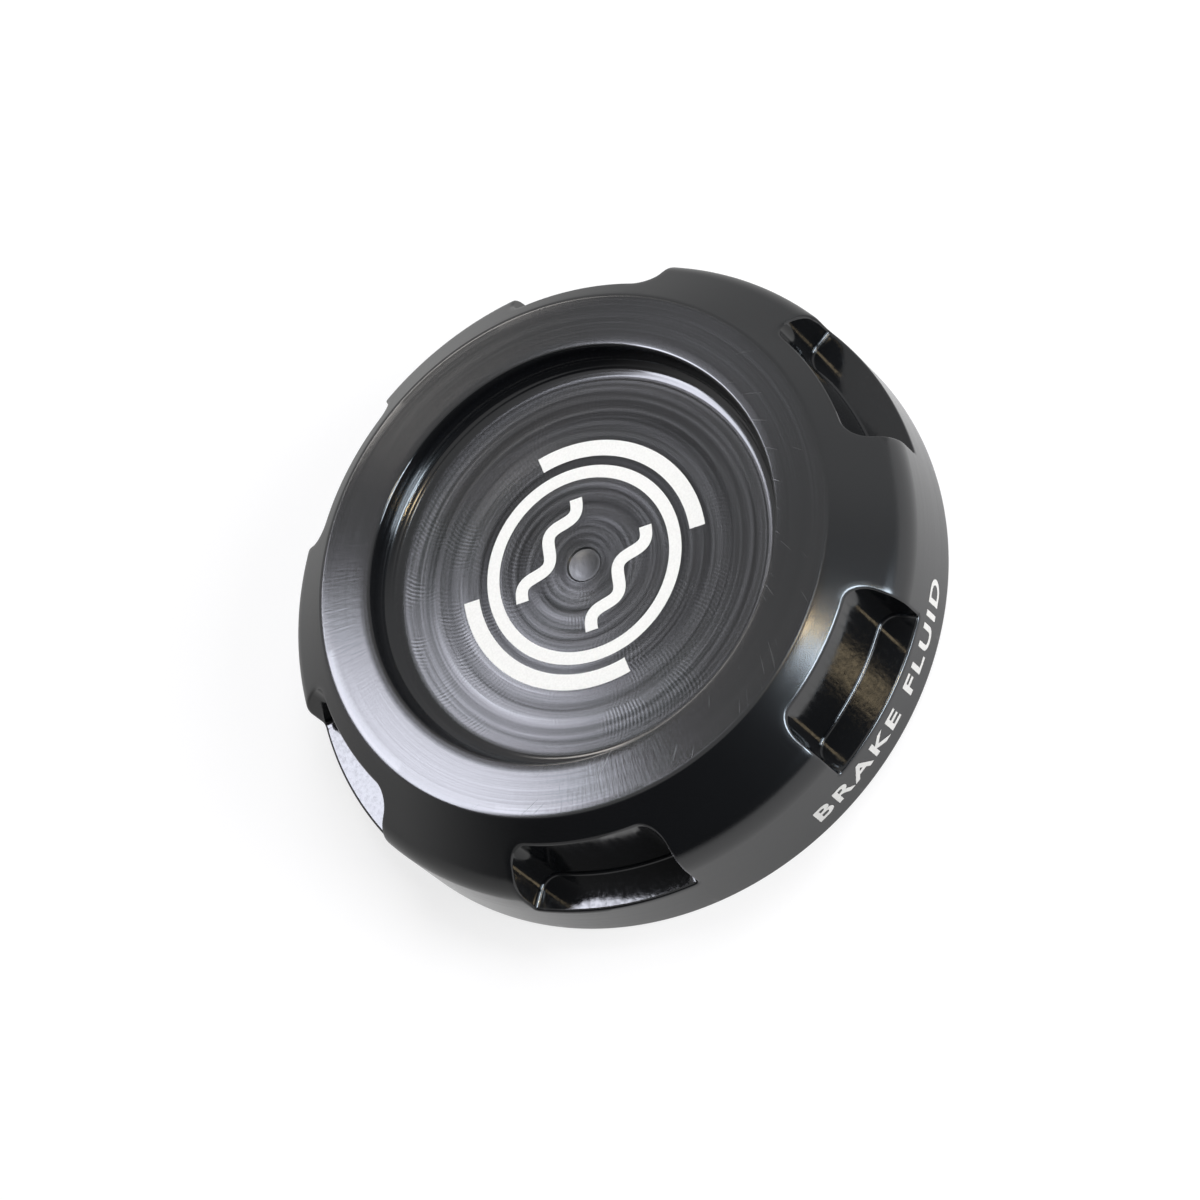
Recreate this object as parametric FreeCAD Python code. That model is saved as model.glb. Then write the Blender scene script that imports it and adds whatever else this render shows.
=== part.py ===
import FreeCAD, Part
import math
import os

# Threaded mouth, sized by the filler neck that the cap screws onto (millimetres)
bore_radius = 27.0            # wall that carries the thread, at the root of its ridges
lead_in = 0.8                 # bevel that guides the neck into the mouth
thread_length = 5.5           # straight wall above the bevel

# Groove above the thread, and the flat flange of the rubber seal that snaps into it
groove_depth = 0.7            # how far the groove is cut behind the thread wall
groove_height = 2.0
seal_side_gap = 0.2           # between the flange's edge and the back of the groove
seal_drop_gap = 0.3           # between the flange and the groove's lower ledge
flange_width = 6.0            # ring that the neck presses on

# Raised middle of the seal, a thin hat that sinks and rises with the fluid
web_thickness = 0.9
hat_rise = 1.6                # of its flat top above the flange's seat
hat_angle = 60.0              # slope of its side, degrees
hat_clearance = 0.55          # above the hat, to the cap's inner ceiling

# Solid top of the cap
crown_thickness = 2.65        # between the inner ceiling and the floor of the dish
cavity_gap = 0.5              # round the foot of the hat
vent_count = 4                # air slots across the seat of the seal
vent_width = 1.6
vent_depth = 0.5

# Six finger pockets milled into the side
pocket_count = 6
pocket_web = 3.0              # metal left between the thread wall and a pocket
pocket_depth = 4.0
pocket_floor = 5.7            # height of the pocket floors above the rim
pocket_span = 30.0            # angle between a pocket's two end walls, degrees
pocket_corner = 2.0           # radius that the cutter leaves in plan

# Turned outside and top
shoulder_width = 6.15         # run of the sloping shoulder, measured along the radius
shoulder_angle = 45.0         # slope below the horizontal, degrees
shoulder_round = 5.3          # between the shoulder and the upright band
land_width = 5.55             # flat ring round the dish
dish_depth = 3.5
dish_fillet = 2.2
pip_radius = 1.9              # shallow cone left at the centre of the dish
pip_depth = 0.15
edge_break = 0.3              # fine break on every machined edge that a hand touches

# Heights and radii that follow from the sizes above
thread_top = lead_in + thread_length
seat_z = thread_top + groove_height
groove_radius = bore_radius + groove_depth
flange_radius = groove_radius - seal_side_gap
flange_inner = flange_radius - flange_width
flange_bottom = thread_top + seal_drop_gap
hat_top = seat_z + hat_rise
ceiling_z = hat_top + hat_clearance
cavity_radius = flange_inner + cavity_gap
dish_z = ceiling_z + crown_thickness
height = dish_z + dish_depth
pocket_wall = bore_radius + pocket_web
outer_radius = pocket_wall + pocket_depth
land_outer = outer_radius - shoulder_width
land_inner = land_outer - land_width
slope = math.radians(shoulder_angle)
shoulder_z = height - shoulder_width * math.tan(slope)

AXIS = FreeCAD.Vector(0, 0, 1)
CENTRE = FreeCAD.Vector(0, 0, 0)
front_angle = -90.0           # direction of the first pocket, degrees
touch = 1e-3                  # how closely an edge has to lie on a face to count as on it


def section(radius, z):
    """A point of a turned profile, in the plane of the X and Z axes."""
    return FreeCAD.Vector(radius, 0, z)


def plan(radius, angle, z):
    """A point at an angle in degrees round the cap's axis."""
    a = math.radians(angle)
    return FreeCAD.Vector(radius * math.cos(a), radius * math.sin(a), z)


def turned(edges):
    """The solid that a closed profile sweeps round the cap's axis."""
    face = Part.Face(Part.Wire(Part.__sortEdges__(edges)))
    return face.revolve(CENTRE, AXIS, 360)


def turned_outline(points):
    """The turned solid of an outline with straight sides."""
    closed = [section(r, z) for r, z in points + points[:1]]
    return turned(Part.makePolygon(closed).Edges)


def spread_round(shape, count, first_angle):
    """Copies of a shape, evenly spaced round the cap's axis."""
    copies = []
    for i in range(count):
        copy = shape.copy()
        copy.rotate(CENTRE, AXIS, first_angle + i * 360 / count)
        copies.append(copy)
    return copies


def blank():
    """The turned outside: broken rim, upright band, rounded shoulder and flat top."""
    tangent = shoulder_round * math.tan(slope / 2)
    middle_angle = slope / 2
    arc_centre = (outer_radius - shoulder_round, shoulder_z - tangent)
    band_top = section(outer_radius, shoulder_z - tangent)
    arc_middle = section(
        arc_centre[0] + shoulder_round * math.cos(middle_angle),
        arc_centre[1] + shoulder_round * math.sin(middle_angle))
    cone_foot = section(
        outer_radius - tangent * math.cos(slope), shoulder_z + tangent * math.sin(slope))
    cone_top = section(
        land_outer + edge_break * math.cos(slope), height - edge_break * math.sin(slope))
    corners = [
        cone_top,
        section(land_outer - edge_break, height),
        section(0, height),
        section(0, 0),
        section(outer_radius - edge_break, 0),
        section(outer_radius, edge_break),
        band_top,
    ]
    edges = Part.makePolygon(corners).Edges
    edges.append(Part.Arc(band_top, arc_middle, cone_foot).toShape())
    edges.append(Part.makeLine(cone_foot, cone_top))
    return turned(edges)


def dish_cutter():
    """The round dish in the top, with its rounded foot, bevelled lip and centre mark."""
    floor_radius = land_inner - dish_fillet
    foot_z = dish_z + dish_fillet
    lip_radius = land_inner + edge_break
    above = height + dish_depth
    arc_share = math.sin(math.radians(45))
    foot_start = section(floor_radius, dish_z)
    foot_end = section(land_inner, foot_z)
    foot_middle = section(
        floor_radius + dish_fillet * arc_share, foot_z - dish_fillet * arc_share)
    corners = [
        foot_end,
        section(land_inner, height - edge_break),
        section(lip_radius, height),
        section(lip_radius, above),
        section(0, above),
        section(0, dish_z - pip_depth),
        section(pip_radius, dish_z),
        foot_start,
    ]
    edges = Part.makePolygon(corners).Edges
    edges.append(Part.Arc(foot_start, foot_middle, foot_end).toShape())
    return turned(edges)


def mouth_cutter():
    """The hollow underneath: bevelled mouth, thread wall, seal groove and ceiling."""
    return turned_outline([
        (0, 0),
        (bore_radius + lead_in, 0),
        (bore_radius, lead_in),
        (bore_radius, thread_top),
        (groove_radius, thread_top),
        (groove_radius, seat_z),
        (cavity_radius, seat_z),
        (cavity_radius, ceiling_z),
        (0, ceiling_z),
    ])


def vent_cutters():
    """Short slots across the seal's seat, between the ceiling space and the groove."""
    inner = cavity_radius - vent_width
    slot = Part.makeBox(
        groove_radius - inner, vent_width, 2 * vent_depth,
        FreeCAD.Vector(inner, -vent_width / 2, seat_z - vent_depth))
    slot = slot.common(Part.makeCylinder(groove_radius, height))
    return spread_round(slot, vent_count, 180 / vent_count)


def pocket_cutter():
    """One finger pocket: an open sector with flat floor and rounded corners."""
    half = pocket_span / 2
    beyond = outer_radius + pocket_depth
    stations = (-half, 0, half)
    inner = [plan(pocket_wall, a, pocket_floor) for a in stations]
    outer = [plan(beyond, a, pocket_floor) for a in stations]
    outline = Part.Wire([
        Part.Arc(*inner).toShape(),
        Part.makeLine(inner[2], outer[2]),
        Part.Arc(*reversed(outer)).toShape(),
        Part.makeLine(outer[0], inner[0]),
    ])
    sector = Part.Face(outline).extrude(AXIS * height)
    corners = []
    for edge in sector.Edges:
        first, last = (v.Point for v in edge.Vertexes)
        upright = math.hypot(first.x - last.x, first.y - last.y) < touch
        if upright and math.hypot(first.x, first.y) < pocket_wall + touch:
            corners.append(edge)
    return sector.makeFillet(pocket_corner, corners)


def edges_on_both(shape, first, second):
    """The edges of a shape that lie on the skins of two other shapes."""
    skins = (Part.makeCompound(first.Faces), Part.makeCompound(second.Faces))
    found = []
    for edge in shape.Edges:
        start, span = edge.FirstParameter, edge.LastParameter - edge.FirstParameter
        points = [Part.Vertex(edge.valueAt(start + span * k)) for k in (0, 0.3, 0.7, 1)]
        if all(skin.distToShape(p)[0] < touch for p in points for skin in skins):
            found.append(edge)
    return found


def cap_body():
    """The whole cap, machined from one piece of bar."""
    outside = blank()
    pockets = Part.makeCompound(spread_round(pocket_cutter(), pocket_count, front_angle))
    body = outside.cut(pockets)
    body = body.makeChamfer(edge_break, edges_on_both(body, outside, pockets))
    return body.cut([dish_cutter(), mouth_cutter()] + vent_cutters())


def diaphragm_seal():
    """The moulded rubber seal: thick flange and thin raised hat, in one piece."""
    lean = math.radians(hat_angle)
    side_run = hat_rise / math.tan(lean)
    inner_shift = web_thickness * math.tan(lean / 2)
    hat_inside = hat_top - web_thickness
    inside_radius = flange_inner - side_run - inner_shift
    foot_radius = inside_radius + (hat_inside - flange_bottom) / math.tan(lean)
    return turned_outline([
        (0, hat_inside),
        (inside_radius, hat_inside),
        (foot_radius, flange_bottom),
        (flange_radius, flange_bottom),
        (flange_radius, seat_z),
        (flange_inner, seat_z),
        (flange_inner - side_run, hat_top),
        (0, hat_top),
    ])


os.makedirs("parts", exist_ok=True)
cap_body().exportStep("parts/cap_body.step")
diaphragm_seal().exportStep("parts/diaphragm_seal.step")
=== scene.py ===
import math

import bmesh
import bpy
from bpy.props import FloatProperty, FloatVectorProperty, IntProperty, PointerProperty, StringProperty
from bpy.types import Operator, Panel, PropertyGroup
from mathutils import Matrix, Vector


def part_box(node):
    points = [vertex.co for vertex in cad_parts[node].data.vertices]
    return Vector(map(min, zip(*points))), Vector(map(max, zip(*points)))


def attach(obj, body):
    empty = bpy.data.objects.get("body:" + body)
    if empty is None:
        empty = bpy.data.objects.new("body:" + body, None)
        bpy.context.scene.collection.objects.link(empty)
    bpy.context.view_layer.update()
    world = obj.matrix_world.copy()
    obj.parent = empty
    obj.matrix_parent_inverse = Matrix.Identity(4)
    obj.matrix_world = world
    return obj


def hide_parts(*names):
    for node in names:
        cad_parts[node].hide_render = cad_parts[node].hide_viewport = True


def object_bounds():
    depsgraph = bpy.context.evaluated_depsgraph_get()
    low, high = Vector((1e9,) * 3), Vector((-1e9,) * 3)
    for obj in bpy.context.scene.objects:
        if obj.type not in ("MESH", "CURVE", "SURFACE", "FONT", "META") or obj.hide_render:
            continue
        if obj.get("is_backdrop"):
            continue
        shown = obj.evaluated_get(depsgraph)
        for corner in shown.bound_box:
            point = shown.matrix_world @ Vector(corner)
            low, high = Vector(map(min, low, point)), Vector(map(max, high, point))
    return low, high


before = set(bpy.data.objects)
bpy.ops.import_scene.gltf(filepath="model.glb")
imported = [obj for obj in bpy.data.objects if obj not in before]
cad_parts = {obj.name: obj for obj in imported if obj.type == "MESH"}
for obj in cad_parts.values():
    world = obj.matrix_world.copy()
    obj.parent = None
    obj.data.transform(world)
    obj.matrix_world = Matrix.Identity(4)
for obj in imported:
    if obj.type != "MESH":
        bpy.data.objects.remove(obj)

bl_info = {
    "name": "Machined reservoir cap",
    "version": (1, 0, 0),
    "blender": (4, 5, 0),
    "location": "3D View > Sidebar > Cap",
    "description": "Builds an anodised screw cap with its thread, seal and etched markings",
    "category": "Object",
}

CAD_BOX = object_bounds()
BODY_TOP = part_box("cap_body")[1]
SEAL_LOW, SEAL_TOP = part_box("diaphragm_seal")
MM = 0.001

# In millimetres: the skin's inset in the solid's box, the room round the seal, and its seat
SKIN_INSET, SEAL_DROP, SEAL_SIDE, HAT_ROOM = 0.02, 0.3, 0.2, 0.55
SEAT_HEIGHT = 8.3

# In metres: points nearer than the first are one, and gaps and edges under the second close up
WELD, SEAM = 1e-7, 1e-6

# How strongly the surfaces mirror: their refraction, and the level of the bright cut ones
ANODISED_IOR, WHITE_IOR, RUBBER_IOR = 1.57, 1.45, 1.5
CUT_LEVEL = 0.42

# Zones of the cap's skin, each with a finish of its own
LAND, DISH, FOOT, SHOULDER, POCKET, INSIDE = range(6)
ZONE_LABELS = ("Land", "Dish", "Dish foot", "Shoulder", "Pocket", "Inside")


def length(label, millimetres, description):
    """A size in the scene's unit, given in millimetres."""
    return FloatProperty(name=label, description=description, default=millimetres * MM,
                         min=0.0, unit="LENGTH", precision=5)


def turn(label, degrees, description):
    """An angle, given in degrees."""
    return FloatProperty(name=label, description=description, default=math.radians(degrees),
                         subtype="ANGLE")


def share(label, default, description):
    """A value between nought and one."""
    return FloatProperty(name=label, description=description, default=default,
                         min=0.0, max=1.0, subtype="FACTOR")


def colour(label, default, description):
    """A linear colour."""
    return FloatVectorProperty(name=label, description=description, default=default,
                               size=3, min=0.0, max=1.0, subtype="COLOR")


class CapSizes(PropertyGroup):
    """Turned and milled shape of the cap"""
    outer_radius: length("Outer radius", BODY_TOP.x / MM - SKIN_INSET,
                         "Radius of the upright band, just inside the solid")
    height: length("Height", BODY_TOP.z / MM, "From the rim to the flat ring on top")
    land_outer: length("Ring outside", 27.85, "Outer radius of the flat ring on top")
    land_inner: length("Ring inside", 22.3, "Radius of the dish at its lip")
    dish_floor: length("Dish floor", 13.1, "Height of the dish's floor above the rim")
    dish_foot: length("Dish foot", 2.2, "Radius between the dish's floor and its wall")
    foot_ledge: length("Tool ledge", 0.035, "Step that the form tool left in the dish's foot")
    centre_radius: length("Centre mark", 1.9, "Radius of the shallow mark at the dish's centre")
    centre_depth: length("Centre depth", 0.15, "Depth of the mark at the dish's centre")
    pass_width: length("Milling pass", 3.6, "Width of one round of the cutter on the dish's floor")
    pass_hollow: length("Pass hollow", 0.012, "How far a pass is hollow across its width")
    shoulder_slope: turn("Shoulder slope", 45, "Slope of the shoulder below the horizontal")
    shoulder_round: length("Shoulder round", 5.3, "Radius between the shoulder and the band")
    pocket_count: IntProperty(name="Pockets", description="Finger pockets round the cap",
                              default=6, min=3, max=12)
    front_angle: turn("Front", -90, "Direction of the first pocket round the axis")
    pocket_wall: length("Pocket wall", 30.0, "Radius of a pocket's inner wall")
    pocket_floor: length("Pocket floor", 5.7, "Height of a pocket's floor above the rim")
    pocket_span: turn("Pocket span", 30, "Angle between a pocket's two end walls")
    pocket_corner: length("Pocket corner", 2.0, "Radius that the cutter leaves in plan")
    pocket_toe: length("Pocket toe", 0.3, "Radius between a pocket's walls and its floor")
    edge_break: length("Edge break", 0.3, "Fine round on every edge that a hand touches")
    bore_radius: length("Thread wall", 27.0, "Radius of the wall that carries the thread")
    lead_in: length("Lead-in", 0.8, "Bevel that guides the neck into the mouth")
    thread_top: length("Thread top", SEAL_LOW.z / MM - SEAL_DROP,
                       "Height where the seal's groove begins")
    groove_radius: length("Groove", SEAL_TOP.x / MM + SEAL_SIDE,
                          "Radius at the back of the seal's groove")
    seat_height: length("Seat", SEAT_HEIGHT, "Height of the face that the seal's flange lies on")
    cavity_radius: length("Cavity", 22.0, "Radius of the space over the seal's hat")
    ceiling_height: length("Ceiling", SEAL_TOP.z / MM + HAT_ROOM,
                           "Height of the cap's inner ceiling")


class ThreadSizes(PropertyGroup):
    """Ridge that winds round the inside of the mouth"""
    pitch: length("Pitch", 3.0, "Rise of the ridge in one turn")
    ridge_depth: length("Ridge depth", 1.15, "How far the ridge stands out of the wall")
    foot_width: length("Foot width", 2.1, "Width of the ridge where it meets the wall")
    crest_width: length("Crest width", 0.8, "Width of the ridge at its crest")
    crest_round: length("Crest round", 0.18, "Round on the ridge's edges")
    start_height: length("Start", 1.75, "Height of the ridge's lower end above the rim")
    turns: FloatProperty(name="Turns", description="How often the ridge goes round", default=1.15,
                         min=0.1, max=4.0)
    sink: length("Sink", 0.15, "How far the ridge's foot lies in the wall")
    run_out: share("Run-out", 0.05, "Share of the ridge's length over which an end dies away")
    end_size: share("End size", 0.12, "Size of the ridge at its very ends, of its full size")


class SealSizes(PropertyGroup):
    """Moulded rubber seal under the cap's top"""
    flange_inner: length("Flange inside", 21.5, "Radius where the flange turns into the hat")
    seat_height: length("Seat", SEAT_HEIGHT, "Height of the flange's upper face")
    web: length("Web", 0.9, "Thickness of the hat")
    hat_slope: turn("Hat slope", 60, "Slope of the hat's side")
    bead_radius: length("Sealing beads", 24.6, "Radius midway between the two sealing beads")
    bead_spread: length("Bead spread", 0.9, "From that radius to each bead")
    bead_round: length("Bead round", 0.3, "How far the beads stand out of the flange")
    edge_round: length("Moulded edge", 0.25, "Round on the moulded edges")


class MarkingSizes(PropertyGroup):
    """White markings etched into the surface"""
    words: StringProperty(name="Words", description="Plain words on the band",
                          default="BRAKE FLUID")
    words_height: length("Letter height", 2.15, "Height of the capitals on the band")
    words_span: turn("Letter span", 46, "Angle that the words take up round the band")
    words_middle: length("Letter middle", 3.2, "Height of the words' middle above the rim")
    words_angle: turn("Letter angle", -90, "Direction of the words' middle round the axis")
    words_spacing: FloatProperty(
        name="Letter spacing", description="Room for each letter, of its width",
        default=1.22, min=0.5, max=3.0)
    words_weight: FloatProperty(
        name="Letter weight", description="Thickening of the strokes, of the letter size",
        default=0.028, min=0.0, max=0.1)
    words_skin: length("Letter skin", 0.012, "How far the letters stand proud of the band")
    arc_outer: length("Arcs outside", 13.4, "Outer radius of the sign's two arcs")
    arc_stroke: length("Arc stroke", 1.6875, "Width of the two arcs")
    arc_span: turn("Arc span", 104, "Angle that each arc takes up")
    ring_outer: length("Sign ring", 10.7, "Outer radius of the sign's ring")
    sign_stroke: length("Sign stroke", 1.35, "Width of the ring and of the wavy lines")
    wave_offset: length("Wave offset", 4.4, "From the sign's middle to each wavy line")
    wave_reach: length("Wave reach", 5.9, "Half the length of a wavy line")
    wave_swell: length("Wave swell", 0.75, "How far a wavy line swings to each side")
    sign_skin: length("Sign skin", 0.03, "How far the sign stands proud of the dish's floor")


class Finishes(PropertyGroup):
    """Colours and roughness of the finishes"""
    anodised: colour("Anodised", (0.0046, 0.0052, 0.0064), "Black of the anodised surface")
    etched: colour("Etched", (0.88, 0.88, 0.87), "White of the etched markings")
    rubber: colour("Rubber", (0.022, 0.022, 0.023), "Black of the moulded seal")
    land_roughness: share("Ring roughness", 0.135, "Roughness of the turned ring")
    dish_roughness: share("Dish roughness", 0.165, "Roughness of the milled dish floor")
    foot_roughness: share("Foot roughness", 0.14, "Roughness of the dish's foot and wall")
    shoulder_roughness: share("Shoulder roughness", 0.21, "Roughness of the shoulder and band")
    pocket_roughness: share("Pocket roughness", 0.10, "Roughness of the milled pockets")
    inside_roughness: share("Inside roughness", 0.34, "Roughness of the turned mouth")
    etched_roughness: share("Etched roughness", 0.75, "Roughness of the white markings")
    rubber_roughness: share("Rubber roughness", 0.62, "Roughness of the moulded seal")


class StageSizes(PropertyGroup):
    """Camera, floor and lamps"""
    azimuth: turn("Azimuth", -15.493, "Camera's direction round the cap, from the front")
    elevation: turn("Elevation", 56.48, "Camera's angle above the floor")
    roll: turn("Roll", 50.0, "How far the camera is turned about its own line of sight")
    distance: length("Distance", 601.76, "From the camera to the point it aims at")
    aim: FloatVectorProperty(name="Aim", description="Point that the camera aims at",
                             default=(-1.902 * MM, -0.544 * MM, 8.3 * MM), size=3,
                             subtype="TRANSLATION", unit="LENGTH", precision=5)
    lens: FloatProperty(name="Lens", description="Focal length", default=180.0, unit="CAMERA")
    sensor: FloatProperty(name="Sensor", description="Width of the camera's sensor", default=36.0,
                          unit="CAMERA")
    floor_colour: colour("Floor", (0.30, 0.30, 0.31), "Colour of the floor under the lamps")
    floor_glow: share("Floor glow", 0.75, "Light that keeps the floor white for the camera")
    sky: share("Sky", 0.25, "Level of the even light from all round")
    sky_mirrored: share("Mirrored sky", 0.74, "Level of the sky that the gloss mirrors")


def plug(tree, socket, value):
    """Link a socket to another, or give it a plain value."""
    if isinstance(value, bpy.types.NodeSocket):
        tree.links.new(value, socket)
    else:
        socket.default_value = value


def add(tree, kind, inputs=None, **settings):
    """A node with its settings and inputs."""
    made = tree.nodes.new(kind)
    for name, value in settings.items():
        setattr(made, name, value)
    for key, value in (inputs or {}).items():
        plug(tree, made.inputs[key], value)
    return made


def calc(tree, operation, *values):
    """The result of one sum."""
    return add(tree, "ShaderNodeMath", dict(enumerate(values)), operation=operation).outputs[0]


def ramp(tree, value, low, high, to_low=0.0, to_high=1.0):
    """A value moved smoothly from one range to another."""
    return add(tree, "ShaderNodeMapRange", {0: value, 1: low, 2: high, 3: to_low, 4: to_high},
               interpolation_type="SMOOTHSTEP").outputs[0]


def noise(tree, vector, scale, detail=2.0):
    """Smooth noise round a half."""
    made = add(tree, "ShaderNodeTexNoise", {"Vector": vector, "Scale": scale, "Detail": detail},
               noise_dimensions="3D")
    return made.outputs["Fac"]


def blend_colour(tree, factor, first, second):
    """A colour between two others."""
    made = add(tree, "ShaderNodeMix", data_type="RGBA")
    for key, value in (("Factor_Float", factor), ("A_Color", first), ("B_Color", second)):
        socket = next(s for s in made.inputs if s.identifier == key)
        plug(tree, socket, value if isinstance(value, bpy.types.NodeSocket) or key == "Factor_Float"
             else (*value, 1.0))
    return next(s for s in made.outputs if s.identifier == "Result_Color")


class Finish:
    """A surface finish in the making, on the cap's own coordinates in millimetres."""

    def __init__(self, name, base, roughness, ior):
        self.material = bpy.data.materials.new(name)
        self.material.use_nodes = True
        self.tree = self.material.node_tree
        self.shader = self.tree.nodes["Principled BSDF"]
        self.base, self.roughness = base, roughness
        self.set("Base Color", (*base, 1.0))
        self.set("Roughness", roughness)
        self.set("IOR", ior)
        place = add(self.tree, "ShaderNodeTexCoord").outputs["Object"]
        self.place = add(self.tree, "ShaderNodeVectorMath", {0: place, "Scale": 1 / MM},
                         operation="SCALE").outputs[0]
        x, y, self.z = add(self.tree, "ShaderNodeSeparateXYZ", {0: self.place}).outputs
        flat = add(self.tree, "ShaderNodeCombineXYZ", {0: x, 1: y}).outputs[0]
        self.radius = add(self.tree, "ShaderNodeVectorMath", {0: flat},
                          operation="LENGTH").outputs["Value"]
        self.angle = calc(self.tree, "ARCTAN2", y, x)

    def set(self, socket, value):
        """Give an input of the shader a value or a link."""
        plug(self.tree, self.shader.inputs[socket], value)

    def sum(self, operation, *values):
        """The result of one sum in the finish's tree."""
        return calc(self.tree, operation, *values)

    def round_noise(self, per_mm, round_the_axis, upward=0.0, detail=2.0):
        """Noise that is fine across the radius and long round the axis, without a seam."""
        along = [self.sum("MULTIPLY", self.sum(way, self.angle), round_the_axis)
                 for way in ("COSINE", "SINE")]
        across = self.sum("ADD", self.sum("MULTIPLY", self.radius, per_mm),
                          self.sum("MULTIPLY", self.z, upward))
        vector = add(self.tree, "ShaderNodeCombineXYZ", {0: across, 1: along[0], 2: along[1]})
        return noise(self.tree, vector.outputs[0], 1.0, detail)

    def grain(self, per_mm, detail=2.0):
        """Noise that is alike in every direction."""
        return noise(self.tree, self.place, per_mm, detail)

    def uneven(self, pattern, smoother, rougher, low=0.3, high=0.7):
        """Let the roughness follow a pattern, to either side of its own value."""
        self.set("Roughness", ramp(self.tree, pattern, low, high,
                                   self.roughness - smoother, self.roughness + rougher))

    def tint(self, factor, low, high):
        """Let the colour follow a factor, between two multiples of its own."""
        shades = [[c * times for c in self.base] for times in (low, high)]
        self.set("Base Color", blend_colour(self.tree, factor, *shades))

    def relief(self, height, microns):
        """Lay a relief on the surface, on top of those laid before."""
        made = add(self.tree, "ShaderNodeBump", {"Height": height, "Strength": 1.0,
                                                 "Distance": microns * MM * MM})
        before = self.shader.inputs["Normal"].links
        if before:
            plug(self.tree, made.inputs["Normal"], before[0].from_socket)
        self.set("Normal", made.outputs[0])

    def turned_sheen(self, amount):
        """Stretch highlights across the lines of a turned surface."""
        quarter_turn = 0.25
        tangent = add(self.tree, "ShaderNodeTangent", direction_type="RADIAL", axis="Z")
        self.set("Anisotropic", amount)
        self.set("Anisotropic Rotation", quarter_turn)
        self.set("Tangent", tangent.outputs[0])


def scratches(f):
    """Slanting scratches on the two sides that hands wear most."""
    t = f.tree
    worn_sides = (math.radians(-62), math.radians(-132))
    slant, per_radian, along_per_mm, strength = 2.4, 70.0, 0.2, 0.45
    way = add(t, "ShaderNodeVectorMath", {0: f.place}, operation="NORMALIZE").outputs[0]
    nearness = []
    for side in worn_sides:
        made = add(t, "ShaderNodeVectorMath", {0: way, 1: (math.cos(side), math.sin(side), 0.0)},
                   operation="DOT_PRODUCT")
        nearness.append(made.outputs["Value"])
    worn = ramp(t, f.sum("MAXIMUM", *nearness), 0.45, 0.75)
    across = f.sum("MULTIPLY_ADD", f.radius, slant, f.sum("MULTIPLY", f.angle, per_radian))
    along = f.sum("MULTIPLY", f.radius, along_per_mm)
    streaks = add(t, "ShaderNodeCombineXYZ", {0: across, 1: along}).outputs[0]
    lines = ramp(t, noise(t, streaks, 1.0, detail=1.0), 0.68, 0.74)
    return f.sum("MULTIPLY", f.sum("MULTIPLY", lines, worn), strength)


def land_finish(finishes):
    """Fine turned ring round the dish, with a few handling scratches."""
    bare_metal = (0.075, 0.075, 0.078)
    f = Finish("turned_land", finishes.anodised, finishes.land_roughness, ANODISED_IOR)
    lines = f.round_noise(per_mm=8.0, round_the_axis=0.8)
    f.uneven(lines, smoother=0.015, rougher=0.025)
    f.turned_sheen(0.8)
    f.relief(lines, microns=0.9)
    f.relief(f.round_noise(per_mm=0.45, round_the_axis=95.0), microns=2.4)
    f.relief(f.grain(per_mm=6.0, detail=3.0), microns=0.8)
    marks = scratches(f)
    f.set("Base Color", blend_colour(f.tree, marks, finishes.anodised, bare_metal))
    f.relief(marks, microns=-2.0)
    return f.material


def feed_marks(f, sizes):
    """Curved marks of the cutter's feed, patchy and in rounds as wide as one pass."""
    strokes_per_mm, bow_middle, bow_swing, wander_swing = 15.0, 0.35, 26.0, 9.0
    first, width = sizes.centre_radius / MM, sizes.pass_width / MM
    passes = f.sum("DIVIDE", f.sum("SUBTRACT", f.radius, first), width)
    middle = f.sum("MULTIPLY_ADD", f.sum("ADD", f.sum("FLOOR", passes), 0.5), width, first)
    strokes = f.sum("ROUND", f.sum("MULTIPLY", middle, strokes_per_mm))
    off_middle = f.sum("SUBTRACT", f.sum("FRACT", passes), bow_middle)
    bow = f.sum("MULTIPLY", f.sum("POWER", off_middle, 2.0), bow_swing)
    wander = f.sum("MULTIPLY", f.grain(per_mm=0.35), wander_swing)
    phase = f.sum("ADD", f.sum("MULTIPLY_ADD", strokes, f.angle, bow), wander)
    feed = f.sum("MULTIPLY_ADD", f.sum("SINE", phase), 0.5, 0.5)
    return f.sum("MULTIPLY", feed, ramp(f.tree, f.grain(per_mm=0.22), 0.40, 0.62))


def dish_finish(finishes, sizes):
    """Milled floor: wide rings in its relief, also painted into its colour and mirror level as dark and
    bright bands, with curved feed marks.
    """
    dark, bright = 0.33, 0.64
    f = Finish("milled_dish", finishes.anodised, finishes.dish_roughness, ANODISED_IOR)
    rings = f.round_noise(per_mm=2.4, round_the_axis=0.7, detail=3.0)
    f.uneven(rings, smoother=0.04, rougher=0.06, low=0.25, high=0.75)
    wide_rings_and_painted_bands = f.round_noise(per_mm=0.95, round_the_axis=0.22, detail=2.5)
    # The mirror level and the colour rise and fall with the wide rings: painted shade in the dark rings
    # and painted reflection in the bright ones.
    f.set("Specular IOR Level", ramp(f.tree, wide_rings_and_painted_bands, dark, bright, 0.27, 0.56))
    f.tint(ramp(f.tree, wide_rings_and_painted_bands, dark, bright), low=0.5, high=1.5)
    f.turned_sheen(0.4)
    f.relief(wide_rings_and_painted_bands, microns=9.0)
    f.relief(rings, microns=4.0)
    f.relief(feed_marks(f, sizes), microns=1.7)
    return f.material


def foot_finish(finishes):
    """Bright turned foot and wall of the dish, with fine tool lines."""
    f = Finish("turned_foot", finishes.anodised, finishes.foot_roughness, ANODISED_IOR)
    lines = f.round_noise(per_mm=5.0, round_the_axis=0.6, upward=5.0, detail=3.0)
    f.uneven(lines, smoother=0.04, rougher=0.08)
    f.set("Specular IOR Level", CUT_LEVEL)
    f.relief(lines, microns=4.0)
    return f.material


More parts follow.
